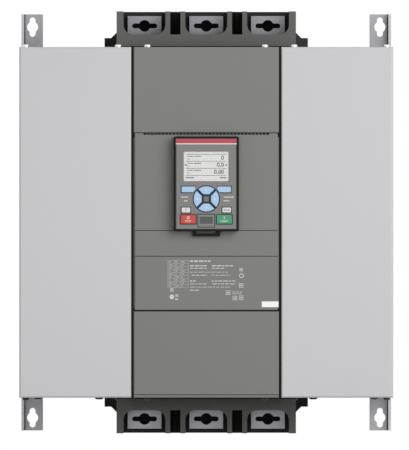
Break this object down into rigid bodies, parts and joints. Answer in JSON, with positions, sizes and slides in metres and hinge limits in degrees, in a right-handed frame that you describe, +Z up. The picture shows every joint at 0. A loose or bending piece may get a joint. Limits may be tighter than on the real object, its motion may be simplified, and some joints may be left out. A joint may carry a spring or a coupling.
{
  "type": "soft starter",
  "caption": "Wall-mounted soft starter for a large motor: grey moulded centre with a detachable keypad between two sheet-metal side boxes, with busbar terminals above and below.",
  "frame": {"origin": "centre of the four mounting keyholes, on the wall plane at the back of the rails", "axes": "+X to the right seen from the front, +Y into the wall (the front faces -Y), +Z up"},
  "size_m": [0.435, 0.2898, 0.4928],
  "materials": {
    "galvanised_sheet": "galvanised",
    "coated_sheet": "light grey powder coat, matt",
    "block_moulding": "dark grey glass-filled moulding",
    "tinned_copper": "tin-plated copper",
    "contactor_moulding": "black moulding",
    "transformer_resin": "dark blue resin",
    "heatsink_aluminium": "extruded",
    "module_moulding": "black moulding",
    "fan_moulding": "black moulding",
    "cover_moulding": "mid grey moulding, fine grain",
    "circuit_board": "green solder mask",
    "black_moulding": "black moulding",
    "keypad_face": "grey moulding",
    "display_panel": "pale liquid crystal panel",
    "display_glass": "clear window",
    "mat_rubber": "dark blue silicone",
    "plated_shell": "nickel plated",
    "blue_key": "pale blue, satin",
    "white_key": "white, satin",
    "red_key": "red, satin",
    "green_key": "green, satin",
    "zinc_screw": "bright zinc",
    "black_screw": "black oxide"
  },
  "bodies": {
    "case": {"left_mounting_rail": "galvanised_sheet", "right_mounting_rail": "galvanised_sheet", "chassis": "galvanised_sheet", "left_side_cover": "coated_sheet", "right_side_cover": "coated_sheet", "line_terminal_block": "block_moulding", "load_terminal_block": "block_moulding", "line_busbar_1": "tinned_copper", "line_busbar_2": "tinned_copper", "line_busbar_3": "tinned_copper", "load_busbar_1": "tinned_copper", "load_busbar_2": "tinned_copper", "load_busbar_3": "tinned_copper", "bypass_contactor": "contactor_moulding", "arc_chamber": "contactor_moulding", "current_transformers": "transformer_resin", "left_heatsink": "heatsink_aluminium", "right_heatsink": "heatsink_aluminium", "thyristor_left_1": "module_moulding", "thyristor_left_2": "module_moulding", "thyristor_left_3": "module_moulding", "thyristor_right_1": "module_moulding", "thyristor_right_2": "module_moulding", "thyristor_right_3": "module_moulding", "left_fan_frame": "fan_moulding", "right_fan_frame": "fan_moulding", "left_fan_guard": "fan_moulding", "right_fan_guard": "fan_moulding", "control_housing": "black_moulding", "upper_cover": "cover_moulding", "control_cover": "cover_moulding", "lower_cover": "cover_moulding", "control_board": "circuit_board", "gate_driver_board": "circuit_board", "control_terminals": "black_moulding", "keypad_socket": "black_moulding", "cover_screws": "zinc_screw", "fan_screws": "black_screw"},
    "keypad": {"keypad_rear_shell": "black_moulding", "keypad_front_shell": "black_moulding", "keypad_face_plate": "keypad_face", "display_module": "display_panel", "display_window": "display_glass", "keypad_mat": "mat_rubber", "keypad_board": "circuit_board", "service_socket": "plated_shell"},
    "latch": {"keypad_latch": "black_moulding"},
    "port_flap": {"service_port_flap": "keypad_face"},
    "left_fan": {"left_fan_rotor": "fan_moulding"},
    "right_fan": {"right_fan_rotor": "fan_moulding"},
    "softkey_left": {"softkey_left": "blue_key"},
    "softkey_right": {"softkey_right": "blue_key"},
    "nav_up": {"nav_up": "blue_key"},
    "nav_down": {"nav_down": "blue_key"},
    "nav_left": {"nav_left": "blue_key"},
    "nav_right": {"nav_right": "blue_key"},
    "help_key": {"help_key": "white_key"},
    "mode_key": {"mode_key": "white_key"},
    "stop_key": {"stop_key": "red_key"},
    "start_key": {"start_key": "green_key"}
  },
  "joints": [
    {"name": "keypad_slide", "type": "slide", "parent": "case", "child": "keypad", "axis": [0, -1, 0], "range_m": [0, 0.03]},
    {"name": "latch_press", "type": "slide", "parent": "keypad", "child": "latch", "axis": [0, 0, 1], "range_m": [0, 0.0018], "stiffness_N_per_m": 900},
    {"name": "port_flap_hinge", "type": "hinge", "parent": "keypad", "child": "port_flap", "pos_m": [0, -0.2886, 0.0083], "axis": [-1, 0, 0], "range_deg": [0, 100]},
    {"name": "left_fan_spin", "type": "hinge", "parent": "case", "child": "left_fan", "pos_m": [-0.16112, -0.092, -0.19], "axis": [0, 0, 1], "continuous": true},
    {"name": "right_fan_spin", "type": "hinge", "parent": "case", "child": "right_fan", "pos_m": [0.16112, -0.092, -0.19], "axis": [0, 0, 1], "continuous": true},
    {"name": "softkey_left_press", "type": "slide", "parent": "keypad", "child": "softkey_left", "axis": [0, 1, 0], "range_m": [0, 0.0009], "stiffness_N_per_m": 1200},
    {"name": "softkey_right_press", "type": "slide", "parent": "keypad", "child": "softkey_right", "axis": [0, 1, 0], "range_m": [0, 0.0009], "stiffness_N_per_m": 1200},
    {"name": "nav_up_press", "type": "slide", "parent": "keypad", "child": "nav_up", "axis": [0, 1, 0], "range_m": [0, 0.0009], "stiffness_N_per_m": 1200},
    {"name": "nav_down_press", "type": "slide", "parent": "keypad", "child": "nav_down", "axis": [0, 1, 0], "range_m": [0, 0.0009], "stiffness_N_per_m": 1200},
    {"name": "nav_left_press", "type": "slide", "parent": "keypad", "child": "nav_left", "axis": [0, 1, 0], "range_m": [0, 0.0009], "stiffness_N_per_m": 1200},
    {"name": "nav_right_press", "type": "slide", "parent": "keypad", "child": "nav_right", "axis": [0, 1, 0], "range_m": [0, 0.0009], "stiffness_N_per_m": 1200},
    {"name": "help_key_press", "type": "slide", "parent": "keypad", "child": "help_key", "axis": [0, 1, 0], "range_m": [0, 0.0009], "stiffness_N_per_m": 1200},
    {"name": "mode_key_press", "type": "slide", "parent": "keypad", "child": "mode_key", "axis": [0, 1, 0], "range_m": [0, 0.0009], "stiffness_N_per_m": 1200},
    {"name": "stop_key_press", "type": "slide", "parent": "keypad", "child": "stop_key", "axis": [0, 1, 0], "range_m": [0, 0.0009], "stiffness_N_per_m": 1200},
    {"name": "start_key_press", "type": "slide", "parent": "keypad", "child": "start_key", "axis": [0, 1, 0], "range_m": [0, 0.0009], "stiffness_N_per_m": 1200}
  ]
}
